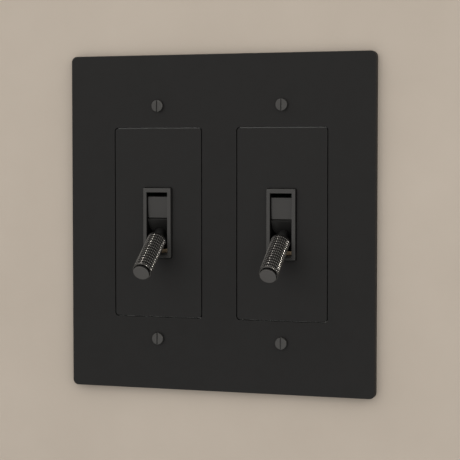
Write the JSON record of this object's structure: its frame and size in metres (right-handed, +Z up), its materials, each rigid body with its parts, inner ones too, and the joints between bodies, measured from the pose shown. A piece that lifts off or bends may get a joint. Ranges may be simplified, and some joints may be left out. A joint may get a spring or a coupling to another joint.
{
  "type": "two-gang lever dimmer switch",
  "caption": "Square two-gang wall plate with flush rectangular inserts, each with a raised slot frame and a knurled lever that pivots up and down to work a slide dimmer.",
  "frame": {"origin": "centre of the wall plate's back face, on the wall", "axes": "+X to the right along the wall, +Y into the wall, +Z up; the levers face -Y"},
  "size_m": [0.1128, 0.0513, 0.1196],
  "materials": {
    "plate_black": "matt black powder coat, even and slightly warm",
    "insert_black": "matt black, a little smoother than the plate",
    "satin_metal": "satin dark bronze-black plating, soft broad sheen",
    "neck_black": "smooth dark, half matt",
    "knurled_metal": "dark plated knurl with bright edges",
    "cap_metal": "satin dark plated end face",
    "screw_metal": "dark plated screw heads",
    "brass": "dull brass",
    "steel": "plain steel",
    "zinc": "zinc plated steel",
    "housing_black": "moulded black",
    "board_green": "glass-fibre board, green",
    "black_plastic": "moulded black, fine texture",
    "nylon": "natural nylon",
    "copper": "varnished copper winding",
    "film_red": "dipped film capacitor",
    "green_screw": "green plated ground screw"
  },
  "bodies": {
    "root": {"wall_plate": "plate_black", "left_insert_plate": "insert_black", "left_bezel_frame": "satin_metal", "left_stop_strip": "brass", "left_mounting_yoke": "zinc", "left_pivot_bracket": "steel", "left_pivot_pin": "steel", "left_pivot_clip": "steel", "left_friction_washer": "steel", "left_rear_housing": "housing_black", "left_circuit_board": "board_green", "left_slide_pot_body": "black_plastic", "left_triac": "black_plastic", "left_choke": "copper", "left_capacitor": "film_red", "left_ground_screw": "green_screw", "left_line_terminal_screw": "brass", "left_line_terminal_plate": "brass", "left_load_terminal_screw": "brass", "left_load_terminal_plate": "brass", "upper_left_plate_screw": "screw_metal", "upper_left_housing_screw": "zinc", "lower_left_plate_screw": "screw_metal", "lower_left_housing_screw": "zinc", "right_insert_plate": "insert_black", "right_bezel_frame": "satin_metal", "right_stop_strip": "brass", "right_mounting_yoke": "zinc", "right_pivot_bracket": "steel", "right_pivot_pin": "steel", "right_pivot_clip": "steel", "right_friction_washer": "steel", "right_rear_housing": "housing_black", "right_circuit_board": "board_green", "right_slide_pot_body": "black_plastic", "right_triac": "black_plastic", "right_choke": "copper", "right_capacitor": "film_red", "right_ground_screw": "green_screw", "right_line_terminal_screw": "brass", "right_line_terminal_plate": "brass", "right_load_terminal_screw": "brass", "right_load_terminal_plate": "brass", "upper_right_plate_screw": "screw_metal", "upper_right_housing_screw": "zinc", "lower_right_plate_screw": "screw_metal", "lower_right_housing_screw": "zinc"},
    "left_lever": {"left_rocker": "satin_metal", "left_lever_neck": "neck_black", "left_knurled_grip": "knurled_metal", "left_end_cap": "cap_metal", "left_drive_pin": "steel"},
    "left_wiper": {"left_wiper_carriage": "nylon"},
    "right_lever": {"right_rocker": "satin_metal", "right_lever_neck": "neck_black", "right_knurled_grip": "knurled_metal", "right_end_cap": "cap_metal", "right_drive_pin": "steel"},
    "right_wiper": {"right_wiper_carriage": "nylon"}
  },
  "joints": [
    {"name": "left_lever_hinge", "type": "hinge", "parent": "root", "child": "left_lever", "pos_m": [-0.02302, 0.0044, 0], "axis": [-1, 0, 0], "range_deg": [0, 70]},
    {"name": "left_wiper_slide", "type": "slide", "parent": "root", "child": "left_wiper", "axis": [0, 0, -1], "range_m": [0, 0.01038]},
    {"name": "right_lever_hinge", "type": "hinge", "parent": "root", "child": "right_lever", "pos_m": [0.02302, 0.0044, 0], "axis": [-1, 0, 0], "range_deg": [0, 70]},
    {"name": "right_wiper_slide", "type": "slide", "parent": "root", "child": "right_wiper", "axis": [0, 0, -1], "range_m": [0, 0.01038]}
  ],
  "couplings": [
    {"joint": "left_wiper_slide", "follows": "left_lever_hinge", "m_per_rad": 0.008451},
    {"joint": "right_wiper_slide", "follows": "right_lever_hinge", "m_per_rad": 0.008451}
  ]
}
